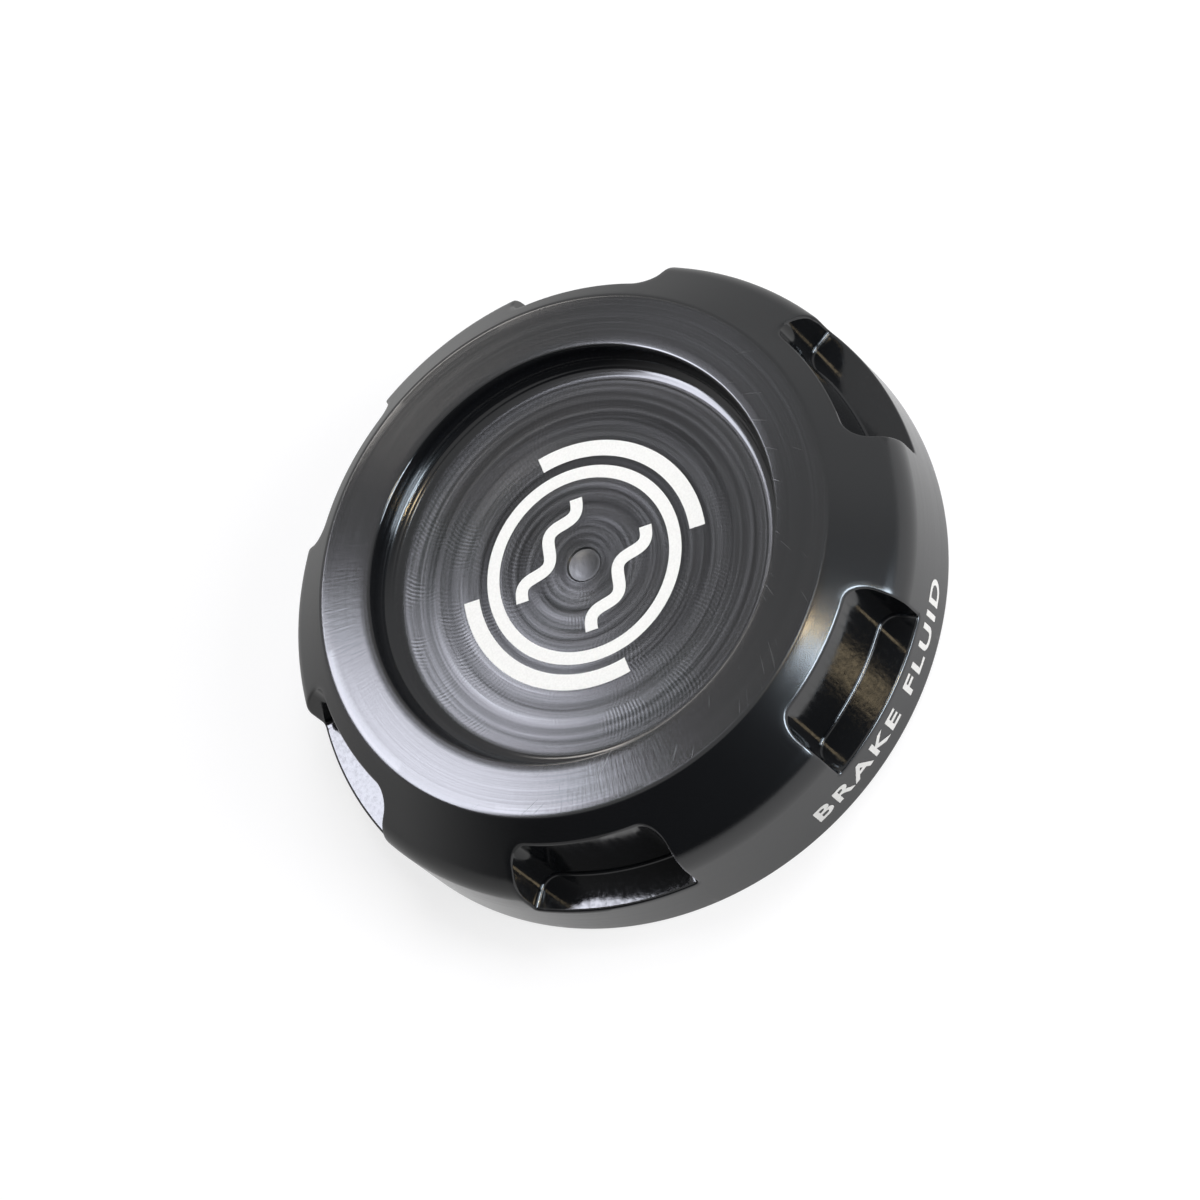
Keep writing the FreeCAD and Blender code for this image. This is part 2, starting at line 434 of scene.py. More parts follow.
def shoulder_finish(finishes):
    """Satin shoulder, band and rim."""
    f = Finish("satin_shoulder", finishes.anodised, finishes.shoulder_roughness, ANODISED_IOR)
    lines = f.round_noise(per_mm=4.0, round_the_axis=1.0, upward=4.0, detail=3.0)
    f.uneven(lines, smoother=0.04, rougher=0.04)
    f.relief(lines, microns=1.0)
    f.relief(f.grain(per_mm=9.0, detail=3.0), microns=0.6)
    return f.material


def pocket_finish(finishes):
    """Bright milled pockets with upright cutter lines on their walls."""
    lines_per_mm = (2.2, 2.2, 0.12)
    f = Finish("milled_pocket", finishes.anodised, finishes.pocket_roughness, ANODISED_IOR)
    stretched = add(f.tree, "ShaderNodeMapping", {"Vector": f.place, "Scale": lines_per_mm})
    lines = noise(f.tree, stretched.outputs[0], 1.0)
    f.uneven(lines, smoother=0.03, rougher=0.05)
    f.set("Specular IOR Level", CUT_LEVEL)
    f.relief(lines, microns=6.0)
    return f.material


def inside_finish(finishes):
    """Turned inside of the mouth, duller than the outside."""
    f = Finish("turned_inside", finishes.anodised, finishes.inside_roughness, ANODISED_IOR)
    lines = f.round_noise(per_mm=3.0, round_the_axis=0.8, upward=3.0, detail=3.0)
    f.uneven(lines, smoother=0.06, rougher=0.08)
    f.relief(lines, microns=4.0)
    return f.material


def etched_finish(finishes):
    """White of the etched markings, matt and slightly uneven."""
    f = Finish("etched_white", finishes.etched, finishes.etched_roughness, WHITE_IOR)
    f.tint(ramp(f.tree, f.grain(per_mm=5.0, detail=3.0), 0.35, 0.65), low=0.94, high=1.0)
    f.relief(f.grain(per_mm=16.0), microns=3.0)
    return f.material


def rubber_finish(finishes):
    """Moulded black rubber with a dull, slightly dusty skin."""
    f = Finish("moulded_rubber", finishes.rubber, finishes.rubber_roughness, RUBBER_IOR)
    f.tint(ramp(f.tree, f.grain(per_mm=0.5, detail=4.0), 0.45, 0.75), low=1.0, high=1.9)
    f.uneven(f.grain(per_mm=2.0, detail=3.0), smoother=0.08, rougher=0.10)
    f.relief(f.grain(per_mm=7.0, detail=3.0), microns=9.0)
    return f.material


def shared(name, make, finishes):
    """A material that several pieces wear, made when it is first asked for."""
    return bpy.data.materials.get(name) or make(finishes)


def arc(centre, radius, start, end, steps):
    """Points of an arc in a profile, by angles in degrees above the horizontal."""
    points = []
    for i in range(steps + 1):
        a = math.radians(start + (end - start) * i / steps)
        points.append((centre[0] + radius * math.cos(a), centre[1] + radius * math.sin(a)))
    return points


def spaced(first, last, steps):
    """Evenly spaced values, both ends included."""
    return [first + (last - first) * i / steps for i in range(steps + 1)]


class Skin:
    """Points and faces of a mesh in the making, where points that coincide are shared."""

    def __init__(self):
        self.points, self.faces, self.zones, self.rims, self.known = [], [], [], [], {}

    def at(self, radius, angle, z):
        """Number of the point at a radius, an angle round the axis and a height."""
        point = (radius * math.cos(angle), radius * math.sin(angle), z)
        key = tuple(round(c / WELD) for c in point)
        if key not in self.known:
            self.known[key] = len(self.points)
            self.points.append(point)
        return self.known[key]

    def face(self, corners, zone):
        """A face in one zone, unless too few of its corners differ."""
        corners = list(dict.fromkeys(corners))
        if len(corners) > 2:
            self.faces.append(corners)
            self.zones.append(zone)

    def sheet(self, rows, zone):
        """Faces between rows of equally many points."""
        for near, far in zip(rows, rows[1:]):
            for i in range(len(near) - 1):
                self.face((near[i], near[i + 1], far[i + 1], far[i]), zone)

    def turned(self, profile, angles, zone):
        """The surface that a profile sweeps over the given angles."""
        self.sheet([[self.at(r, a, z) for a in angles] for r, z in profile], zone)

    def rim(self, line):
        """Edges along a line of points that are to be rounded."""
        self.rims += [tuple(sorted(pair)) for pair in zip(line, line[1:])]

    def mesh(self, name):
        """The finished mesh, with its zones and with weights on the edges to be rounded."""
        made = bpy.data.meshes.new(name)
        made.from_pydata(self.points, [], self.faces)
        made.attributes.new("zone", "INT", "FACE").data.foreach_set("value", self.zones)
        rims = set(self.rims)
        weights = [float(tuple(sorted(edge.vertices)) in rims) for edge in made.edges]
        made.attributes.new("bevel_weight_edge", "FLOAT", "EDGE").data.foreach_set("value", weights)
        return made


class CapSector:
    """One share of the cap's skin, with its pocket in the middle."""
    margin = 0.8 * MM         # strip of shoulder that follows a pocket's outline
    ring_radius = 28.6 * MM   # where the turned top meets the strips round the pockets
    belt_height = 5.0 * MM    # where the pockets' strips meet the plain band
    corner_steps, wall_steps, lug_steps, round_steps, toe_steps = 10, 22, 11, 12, 4
    mark_steps, pass_steps, lip_steps, land_steps, edge_steps = 8, 9, 6, 6, 5
    band_steps, rim_edge_steps, rim_steps, ceiling_steps = 4, 5, 4, 8

    # Dome and groove at the dish's centre, as shares of the mark's radius and depth
    dome_edge, groove_middle, dome_rise, dome_fall = 0.82, 0.9, 0.8, 1.4

    # Cuts of the form tool in the dish's foot: from and to in degrees, and steps
    foot_cuts = ((-90, -62, 6), (-60, -34, 6), (-32, 0, 7))

    def __init__(self, sizes):
        self.s = s = sizes
        self.skin = Skin()
        self.half = s.pocket_span / 2
        self.share = math.pi / s.pocket_count
        self.corner_radius = s.pocket_wall + s.pocket_corner
        self.corner_angle = self.half - math.asin(s.pocket_corner / self.corner_radius)
        self.reach = self.corner_radius * math.cos(self.half - self.corner_angle)
        self.strip_angle = self.half + math.asin(self.margin / self.reach)

    def cone(self, radius):
        """Height of the shoulder's slope at a radius."""
        return self.s.height - (radius - self.s.land_outer) * math.tan(self.s.shoulder_slope)

    def outline(self):
        """Points of the pocket's wall in plan, and the way into the pocket at each."""
        s = self.s
        centre = Vector((math.cos(self.corner_angle), math.sin(self.corner_angle)))
        centre *= self.corner_radius
        corner = []
        for a in spaced(self.half + math.pi / 2, self.corner_angle + math.pi, self.corner_steps):
            out = Vector((math.cos(a), math.sin(a)))
            corner.append((centre + s.pocket_corner * out, -out))
        wall = []
        for a in spaced(self.corner_angle, -self.corner_angle, self.wall_steps)[1:-1]:
            out = Vector((math.cos(a), math.sin(a)))
            wall.append((s.pocket_wall * out, out))
        other = [(Vector((p.x, -p.y)), Vector((n.x, -n.y))) for p, n in reversed(corner)]
        return corner + wall + other

    def ring_angles(self):
        """Angles on the ring round the turned top, one for each point of the outline."""
        corner = spaced(self.strip_angle, self.corner_angle, self.corner_steps)
        wall = spaced(self.corner_angle, -self.corner_angle, self.wall_steps)[1:-1]
        return corner + wall + [-a for a in reversed(corner)]

    def shoulder_profile(self):
        """Rounded shoulder from the end of a pocket's corner down to the pocket's toe."""
        s = self.s
        lean = math.pi / 2 - s.shoulder_slope
        tangent = s.shoulder_round * math.tan(lean / 2)
        centre = (s.outer_radius - s.shoulder_round, self.cone(s.outer_radius) - tangent)
        rounded = arc(centre, s.shoulder_round, math.degrees(lean), 0, self.round_steps)
        return [(self.reach, self.cone(self.reach)), *rounded,
                (s.outer_radius, s.pocket_floor + s.pocket_toe)]

    def lug_angles(self, radius):
        """Angles over the lug beside the pocket, out to the middle of the lug."""
        start = self.half + math.asin(self.margin / max(radius, self.reach))
        return spaced(start, self.share, self.lug_steps)

    def centre_mark(self):
        """Small dome in a groove at the dish's centre, out to the dish's floor."""
        s = self.s
        groove = s.dish_floor - s.centre_depth
        mark = []
        for r in spaced(0.0, self.dome_edge * s.centre_radius, self.mark_steps):
            fall = self.dome_fall * (r / s.centre_radius) ** 2
            mark.append((r, groove + self.dome_rise * s.centre_depth * (1 - fall)))
        return mark + [(self.groove_middle * s.centre_radius, groove),
                       (s.centre_radius, s.dish_floor)]

    def dish_passes(self, start, end):
        """Slightly hollow rounds of the cutter across the dish's floor."""
        s = self.s
        points = [(start, s.dish_floor)]
        while start < end - MM:
            pass_end = min(start + s.pass_width, end)
            for across in spaced(0.0, 1.0, self.pass_steps)[1:]:
                hollow = s.pass_hollow * ((2 * across - 1) ** 2 - 1)
                points.append((start + (pass_end - start) * across, s.dish_floor + hollow))
            start = pass_end
        return points

    def top_profiles(self):
        """Turned top from the axis to the ring, as one profile for each zone."""
        s = self.s
        foot_start = s.land_inner - s.dish_foot
        floor = self.dish_passes(s.centre_radius, foot_start)
        foot_centre = (foot_start, s.dish_floor + s.dish_foot)
        foot = []
        for i, (start, end, steps) in enumerate(self.foot_cuts):
            foot += arc(foot_centre, s.dish_foot - i * s.foot_ledge, start, end, steps)
        wall_radius, wall_foot = foot[-1]
        lip_centre = (wall_radius + s.edge_break, s.height - s.edge_break)
        lip = arc(lip_centre, s.edge_break, 180, 90, self.lip_steps)
        foot += [(wall_radius, (wall_foot + lip[0][1]) / 2), lip[0]]
        edge_radius = s.edge_break / math.tan(s.shoulder_slope / 2)
        edge = arc((s.land_outer - s.edge_break, s.height - edge_radius), edge_radius,
                   90, 90 - math.degrees(s.shoulder_slope), self.edge_steps)
        land = [(r, s.height) for r in spaced(lip[-1][0], edge[0][0], self.land_steps)][1:-1]
        return [(INSIDE, self.centre_mark()), (DISH, floor), (FOOT, floor[-1:] + foot[1:]),
                (LAND, lip + land + edge[:1]),
                (SHOULDER, edge + [(self.ring_radius, self.cone(self.ring_radius))])]

    def lower_profiles(self):
        """Plain band, rim and the hollow underneath, as one profile for each zone."""
        s = self.s
        band = [(s.outer_radius, z) for z in spaced(self.belt_height, s.edge_break, self.band_steps)]
        rim_edge = arc((s.outer_radius - s.edge_break, s.edge_break), s.edge_break,
                       0, -90, self.rim_edge_steps)
        mouth = s.bore_radius + s.lead_in
        rim = [(r, 0.0) for r in spaced(s.outer_radius - s.edge_break, mouth, self.rim_steps)]
        inside = [(mouth, 0.0), (s.bore_radius, s.lead_in), (s.bore_radius, s.thread_top),
                  (s.groove_radius, s.thread_top), (s.groove_radius, s.seat_height),
                  (s.cavity_radius, s.seat_height), (s.cavity_radius, s.ceiling_height)]
        inside += [(r, s.ceiling_height)
                   for r in spaced(s.cavity_radius, 0.0, self.ceiling_steps)[1:]]
        return [(SHOULDER, band + rim_edge[1:] + rim[1:]), (INSIDE, inside)]

    def add_pocket(self):
        """The pocket itself, with the strip of shoulder round it and the band below it."""
        s, at = self.s, self.skin.at
        line = self.outline()
        polar = [(p.length, math.atan2(p.y, p.x)) for p, _ in line]
        ring = [at(self.ring_radius, a, self.cone(self.ring_radius)) for a in self.ring_angles()]
        strip = []
        for p, way in line:
            q = p - self.margin * way
            strip.append(at(q.length, math.atan2(q.y, q.x), self.cone(q.length)))
        for end, angle in ((0, self.strip_angle), (-1, -self.strip_angle)):
            strip[end] = at(self.reach, angle, self.cone(self.reach))
        edge = [at(r, a, self.cone(r)) for r, a in polar]
        walls = [edge]
        for turned in spaced(0.0, math.pi / 2, self.toe_steps):
            inward = s.pocket_toe * (1 - math.cos(turned))
            z = s.pocket_floor + s.pocket_toe * (1 - math.sin(turned))
            moved = [p + inward * way for p, way in line]
            walls.append([at(q.length, math.atan2(q.y, q.x), z) for q in moved])
        inset = self.half - math.asin(s.pocket_toe / s.outer_radius)
        lip_angles = spaced(inset, -inset, len(line) - 1)
        lip = [at(s.outer_radius, a, s.pocket_floor) for a in lip_angles]
        below = [at(s.outer_radius, a, self.belt_height) for a in lip_angles]
        self.skin.sheet([ring, strip, edge], SHOULDER)
        self.skin.sheet(walls + [lip], POCKET)
        self.skin.sheet([lip, below], SHOULDER)
        self.skin.rim(edge)
        self.skin.rim(lip)
        for side, end in ((1, 0), (-1, -1)):
            self.add_pocket_end(side, [row[end] for row in walls[1:]], lip[end], below[end])
        self.belt_angles = lip_angles

    def add_pocket_end(self, side, toe, lip, below):
        """One flat end wall, its rounded toe and the lug beside it."""
        s, at, skin = self.s, self.skin.at, self.skin
        profile = self.shoulder_profile()
        edge = [at(r, side * self.half, z) for r, z in profile]
        skin.face(edge + [toe[0]], POCKET)
        ends = []
        for turned in spaced(0.0, math.pi / 2, self.toe_steps):
            inward = math.asin(s.pocket_toe * (1 - math.cos(turned)) / s.outer_radius)
            ends.append(at(s.outer_radius, side * (self.half - inward),
                           s.pocket_floor + s.pocket_toe * (1 - math.sin(turned))))
        ends[-1] = lip
        skin.sheet([toe, ends], POCKET)
        belt = at(s.outer_radius, side * self.half, self.belt_height)
        skin.face(ends + [below, belt], SHOULDER)
        skin.rim(edge)
        skin.rim(ends)
        rows = profile + [(s.outer_radius, self.belt_height)]
        lug = [[at(r, side * a, z) for a in self.lug_angles(r)] for r, z in rows]
        skin.sheet([edge + [belt], [row[0] for row in lug]], SHOULDER)
        ring = [at(self.ring_radius, side * a, self.cone(self.ring_radius))
                for a in self.lug_angles(self.ring_radius)]
        skin.sheet([ring] + lug, SHOULDER)

    def build(self):
        """The finished sector as a mesh."""
        self.add_pocket()
        over_lug = self.lug_angles(self.ring_radius)
        top = sorted({*self.ring_angles(), *over_lug, *[-a for a in over_lug]})
        beside = self.lug_angles(self.s.outer_radius)
        belt = sorted({*self.belt_angles, self.half, -self.half, *beside, *[-a for a in beside]})
        for zone, profile in self.top_profiles():
            self.skin.turned(profile, top, zone)
        for zone, profile in self.lower_profiles():
            self.skin.turned(profile, belt, zone)
        return self.skin.mesh("cap_sector")


def node_group(name, inputs):
    """An empty Geometry Nodes tree with named inputs, its input and output nodes and their ids."""
    tree = bpy.data.node_groups.new(name, "GeometryNodeTree")
    ids = {}
    for label, kind in inputs:
        ids[label] = tree.interface.new_socket(label, in_out="INPUT", socket_type=kind).identifier
    tree.interface.new_socket("Geometry", in_out="OUTPUT", socket_type="NodeSocketGeometry")
    entry = tree.nodes.new("NodeGroupInput").outputs
    return tree, entry, tree.nodes.new("NodeGroupOutput"), ids


def evaluated_mesh(obj, name):
    """The object's mesh with its modifiers applied, as plain data."""
    graph = bpy.context.evaluated_depsgraph_get()
    made = bpy.data.meshes.new_from_object(obj.evaluated_get(graph), preserve_all_data_layers=True,
                                           depsgraph=graph)
    made.name = name
    return made


def settle(obj):
    """Make what an object's modifiers give its plain mesh."""
    obj.data = evaluated_mesh(obj, obj.name)
    obj.modifiers.clear()


def new_object(name, data):
    """An object at the origin, in the scene."""
    obj = bpy.data.objects.new(name, data)
    bpy.context.scene.collection.objects.link(obj)
    return obj


def apply_nodes(obj, tree, values):
    """Run a node tree on an object and keep the result as its plain mesh."""
    modifier = obj.modifiers.new(tree.name, "NODES")
    modifier.node_group = tree
    for identifier, value in values.items():
        modifier[identifier] = value
    settle(obj)


def round_repeat_tree():
    """Node tree that sets a sector's copies round the axis and gives each zone its finish."""
    inputs = [("Geometry", "NodeSocketGeometry"), ("Copies", "NodeSocketInt"),
              ("Weld distance", "NodeSocketFloat"), ("First angle", "NodeSocketFloat")]
    inputs += [(label + " finish", "NodeSocketMaterial") for label in ZONE_LABELS]
    tree, entry, end, ids = node_group("round_repeat", inputs)
    points = add(tree, "GeometryNodePoints", {"Count": entry["Copies"]})
    number = add(tree, "GeometryNodeInputIndex").outputs[0]
    step = calc(tree, "DIVIDE", 2 * math.pi, entry["Copies"])
    angle = calc(tree, "MULTIPLY_ADD", number, step, entry["First angle"])
    facing = add(tree, "ShaderNodeCombineXYZ", {2: angle}).outputs[0]
    copies = add(tree, "GeometryNodeInstanceOnPoints", {
        "Points": points.outputs[0], "Instance": entry["Geometry"], "Rotation": facing})
    solid = add(tree, "GeometryNodeRealizeInstances", {0: copies.outputs[0]}).outputs[0]
    solid = add(tree, "GeometryNodeMergeByDistance", {
        "Geometry": solid, "Distance": entry["Weld distance"]}).outputs[0]
    zone = add(tree, "GeometryNodeInputNamedAttribute", {"Name": "zone"}, data_type="INT").outputs[0]
    for i, label in enumerate(ZONE_LABELS):
        here = add(tree, "FunctionNodeCompare", {2: zone, 3: i}, data_type="INT", operation="EQUAL")
        solid = add(tree, "GeometryNodeSetMaterial", {
            "Geometry": solid, "Selection": here.outputs[0],
            "Material": entry[label + " finish"]}).outputs[0]
    plug(tree, end.inputs[0], solid)
    return tree, ids


def thread_tree():
    """Node tree that winds a ridge of trapezoid section round the inside of the mouth."""
    sizes = ("Wall radius", "Pitch", "Start height", "Ridge depth", "Foot width", "Crest width",
             "Sink", "Crest round", "Run-out", "End size", "Turns")
    inputs = [("Geometry", "NodeSocketGeometry"), ("Steps", "NodeSocketInt"),
              ("Crest steps", "NodeSocketInt"), ("Finish", "NodeSocketMaterial")]
    tree, entry, end, ids = node_group(
        "thread_ridge", inputs + [(label, "NodeSocketFloat") for label in sizes])
    path = add(tree, "GeometryNodeCurveSpiral", {
        "Resolution": entry["Steps"], "Rotations": entry["Turns"],
        "Start Radius": entry["Wall radius"], "End Radius": entry["Wall radius"],
        "Height": calc(tree, "MULTIPLY", entry["Pitch"], entry["Turns"]),
        "Reverse": True}).outputs[0]
    path = add(tree, "GeometryNodeSetCurveNormal", {"Curve": path}, mode="Z_UP").outputs[0]
    along = add(tree, "GeometryNodeSplineParameter").outputs["Factor"]
    near_end = calc(tree, "MINIMUM", along, calc(tree, "SUBTRACT", 1.0, along))
    taper = ramp(tree, near_end, 0.0, entry["Run-out"], entry["End size"], 1.0)
    depth = calc(tree, "ADD", entry["Ridge depth"], entry["Sink"])
    section = add(tree, "GeometryNodeCurvePrimitiveQuadrilateral", {
        "Height": depth, "Bottom Width": entry["Foot width"], "Top Width": entry["Crest width"],
        "Offset": 0.0}, mode="TRAPEZOID").outputs[0]
    lift = calc(tree, "SUBTRACT", calc(tree, "MULTIPLY", depth, 0.5), entry["Sink"])
    shift = add(tree, "ShaderNodeCombineXYZ", {1: lift}).outputs[0]
    section = add(tree, "GeometryNodeTransform", {"Geometry": section, "Translation": shift}).outputs[0]
    section = add(tree, "GeometryNodeTransform", {
        "Geometry": section, "Rotation": (0.0, 0.0, math.pi / 2)}).outputs[0]
    section = add(tree, "GeometryNodeFilletCurve", {
        "Curve": section, "Count": entry["Crest steps"], "Radius": entry["Crest round"],
        "Limit Radius": True}, mode="POLY").outputs[0]
    ridge = add(tree, "GeometryNodeCurveToMesh", {
        "Curve": path, "Profile Curve": section, "Scale": taper, "Fill Caps": True}).outputs[0]
    up = add(tree, "ShaderNodeCombineXYZ", {2: entry["Start height"]}).outputs[0]
    ridge = add(tree, "GeometryNodeTransform", {"Geometry": ridge, "Translation": up}).outputs[0]
    ridge = add(tree, "GeometryNodeRealizeInstances", {0: ridge}).outputs[0]
    ridge = add(tree, "GeometryNodeSetMaterial", {
        "Geometry": ridge, "Material": entry["Finish"]}).outputs[0]
    plug(tree, end.inputs[0], ridge)
    return tree, ids


def close_and_face_out(mesh):
    """Weld the seams and poles of a closed mesh and turn its faces outwards."""
    work = bmesh.new()
    work.from_mesh(mesh)
    bmesh.ops.remove_doubles(work, verts=work.verts, dist=WELD)
    bmesh.ops.recalc_face_normals(work, faces=work.faces)
    work.to_mesh(mesh)
    work.free()


def shade(mesh, sharp_angle):
    """Smooth shading with hard edges where the faces meet at more than an angle."""
    mesh.polygons.foreach_set("use_smooth", [True] * len(mesh.polygons))
    work = bmesh.new()
    work.from_mesh(mesh)
    for edge in work.edges:
        edge.smooth = not edge.is_manifold or edge.calc_face_angle(0.0) < sharp_angle
    work.to_mesh(mesh)
    work.free()


def finish_piece(obj, slot, *nodes):
    """Tie a finished piece to the cap's body and hide the solids it stands for; the material slot is
    not used.
    """
    if not obj.data.polygons:
        raise RuntimeError(obj.name + " came out empty")
    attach(obj, "root")
    if nodes:
        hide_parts(*nodes)


class CAP_OT_body(Operator):
    """Build the cap's machined body from one sector, repeated round the axis"""
    bl_idname = "cap.body"
    bl_label = "Machined body"
    break_steps = 4           # faces across a rounded edge
    flat_weight = 80          # how far the large faces lead the shading
    sharp_angle = math.radians(34)

    def execute(self, context):
        sizes, finishes = context.scene.cap_sizes, context.scene.cap_finishes
        body = new_object("cap_body_skin", CapSector(sizes).build())
        tree, ids = round_repeat_tree()
        materials = (land_finish(finishes), dish_finish(finishes, sizes), foot_finish(finishes),
                     shoulder_finish(finishes), pocket_finish(finishes),
                     shared("turned_inside", inside_finish, finishes))
        values = {ids["Copies"]: sizes.pocket_count, ids["Weld distance"]: SEAM,
                  ids["First angle"]: sizes.front_angle}
        for label, material in zip(ZONE_LABELS, materials):
            values[ids[label + " finish"]] = material
        apply_nodes(body, tree, values)
        close_and_face_out(body.data)
        rounded = body.modifiers.new("edge_break", "BEVEL")
        rounded.limit_method = "WEIGHT"
        rounded.width = sizes.edge_break
        rounded.segments = self.break_steps
        rounded.use_clamp_overlap = False
        settle(body)
        shade(body.data, self.sharp_angle)
        weighted = body.modifiers.new("flat_faces", "WEIGHTED_NORMAL")
        weighted.keep_sharp = True
        weighted.weight = self.flat_weight
        settle(body)
        finish_piece(body, "anodised_aluminium", "cap_body")
        return {"FINISHED"}


class CAP_OT_thread(Operator):
    """Wind the thread's ridge round the inside of the mouth"""
    bl_idname = "cap.thread"
    bl_label = "Thread ridge"
    steps, crest_steps = 220, 3
    sharp_angle = math.radians(40)

    def execute(self, context):
        sizes, thread = context.scene.cap_sizes, context.scene.cap_thread
        tree, ids = thread_tree()
        ridge = new_object("thread_ridge", bpy.data.meshes.new("thread_ridge"))
        values = {
            "Wall radius": sizes.bore_radius, "Pitch": thread.pitch, "Turns": thread.turns,
            "Start height": thread.start_height, "Ridge depth": thread.ridge_depth,
            "Foot width": thread.foot_width, "Crest width": thread.crest_width,
            "Crest round": thread.crest_round, "Sink": thread.sink, "Run-out": thread.run_out,
            "End size": thread.end_size, "Steps": self.steps, "Crest steps": self.crest_steps,
            "Finish": shared("turned_inside", inside_finish, context.scene.cap_finishes),
        }
        apply_nodes(ridge, tree, {ids[label]: value for label, value in values.items()})
        close_and_face_out(ridge.data)
        shade(ridge.data, self.sharp_angle)
        finish_piece(ridge, "anodised_aluminium")
        return {"FINISHED"}


class CAP_OT_seal(Operator):
    """Turn the moulded rubber seal with its rounded edges and sealing beads"""
    bl_idname = "cap.seal"
    bl_label = "Rubber seal"
    steps, hat_steps, flange_steps, bead_steps, edge_steps = 180, 6, 4, 8, 4
    sharp_angle = math.radians(50)

    def profile(self, seal):
        """Closed section of the seal, from the axis round its outside and back."""
        outer, low, top = SEAL_TOP.x, SEAL_LOW.z, SEAL_TOP.z
        e, seat = seal.edge_round, seal.seat_height
        inner_run, inner_drop = 0.35 * e, 0.25 * e                  # soft edge inside the hat
        skirt_run, toe_run, toe_rise = 0.5 * e, 0.4 * e, 0.1 * e    # soft foot inside the hat
        outer_run = 0.3 * e                                         # soft edges outside the hat
        lean = math.tan(seal.hat_slope)
        side_run = (top - seat) / lean
        inside_top = top - seal.web
        inside_radius = seal.flange_inner - side_run - seal.web * math.tan(seal.hat_slope / 2)
        under = low + seal.bead_round
        foot_radius = inside_radius + (inside_top - under) / lean
        points = [(r, inside_top) for r in spaced(0.0, inside_radius - e, self.hat_steps)]
        points += [(inside_radius + inner_run, inside_top - inner_drop * lean),
                   (foot_radius - skirt_run, under + skirt_run * lean),
                   (foot_radius + toe_run, under + toe_rise)]
        for r in (seal.bead_radius - seal.bead_spread, seal.bead_radius + seal.bead_spread):
            points += arc((r, under), seal.bead_round, 180, 360, self.bead_steps)
        points += arc((outer - e, under + e), e, -90, 0, self.edge_steps)
        points += arc((outer - e, seat - e), e, 0, 90, self.edge_steps)
        flange = spaced(outer - e, seal.flange_inner + e, self.flange_steps)
        points += [(r, seat) for r in flange[1:]]
        hat_edge = seal.flange_inner - side_run
        points += [(seal.flange_inner - outer_run, seat + outer_run * lean),
                   (hat_edge + outer_run, top - outer_run * lean)]
        points += [(r, top) for r in spaced(hat_edge - e, 0.0, self.hat_steps)]
        return points

    def execute(self, context):
        skin = Skin()
        skin.turned(self.profile(context.scene.cap_seal), spaced(0.0, 2 * math.pi, self.steps), 0)
        seal = new_object("rubber_seal", skin.mesh("rubber_seal"))
        seal.data.materials.append(rubber_finish(context.scene.cap_finishes))
        close_and_face_out(seal.data)
        shade(seal.data, self.sharp_angle)
        finish_piece(seal, "seal_rubber", "diaphragm_seal")
        return {"FINISHED"}


def cut_across(mesh, step):
    """Cut a flat mesh into upright slices, so that it can be bent."""
    work = bmesh.new()
    work.from_mesh(mesh)
    low = min(v.co.x for v in work.verts)
    high = max(v.co.x for v in work.verts)
    x = low + step
    while x < high:
        everything = [*work.verts, *work.edges, *work.faces]
        bmesh.ops.bisect_plane(work, geom=everything, dist=WELD / 10, plane_co=(x, 0, 0),
                               plane_no=(1, 0, 0))
        x += step
    bmesh.ops.dissolve_degenerate(work, dist=SEAM, edges=work.edges)
    work.to_mesh(mesh)
    work.free()


class CAP_OT_words(Operator):
    """Etch plain words into the band under the front pocket"""
    bl_idname = "cap.words"
    bl_label = "Words on the band"
    slice_width = 0.35 * MM

    def execute(self, context):
        sizes, marks = context.scene.cap_sizes, context.scene.cap_marks
        text = bpy.data.curves.new("band_words", "FONT")
        text.body = marks.words
        text.align_x, text.align_y = "CENTER", "CENTER"
        text.size = 1.0
        text.space_character = marks.words_spacing
        text.offset = marks.words_weight
        source = new_object("band_words_text", text)
        mesh = evaluated_mesh(source, "band_words")
        bpy.data.objects.remove(source)
        radius = sizes.outer_radius + marks.words_skin
        low = Vector((min(v.co.x for v in mesh.vertices), min(v.co.y for v in mesh.vertices)))
        high = Vector((max(v.co.x for v in mesh.vertices), max(v.co.y for v in mesh.vertices)))
        scale_x = radius * marks.words_span / (high.x - low.x)
        scale_y = marks.words_height / (high.y - low.y)
        middle = (low + high) / 2
        for v in mesh.vertices:
            v.co = ((v.co.x - middle.x) * scale_x, (v.co.y - middle.y) * scale_y, 0.0)
        cut_across(mesh, self.slice_width)
        for v in mesh.vertices:
            angle = marks.words_angle + v.co.x / radius
            v.co = (radius * math.cos(angle), radius * math.sin(angle), marks.words_middle + v.co.y)
        words = new_object("band_words", mesh)
        mesh.materials.clear()
        mesh.materials.append(shared("etched_white", etched_finish, context.scene.cap_finishes))
        finish_piece(words, "white_marking")
        return {"FINISHED"}


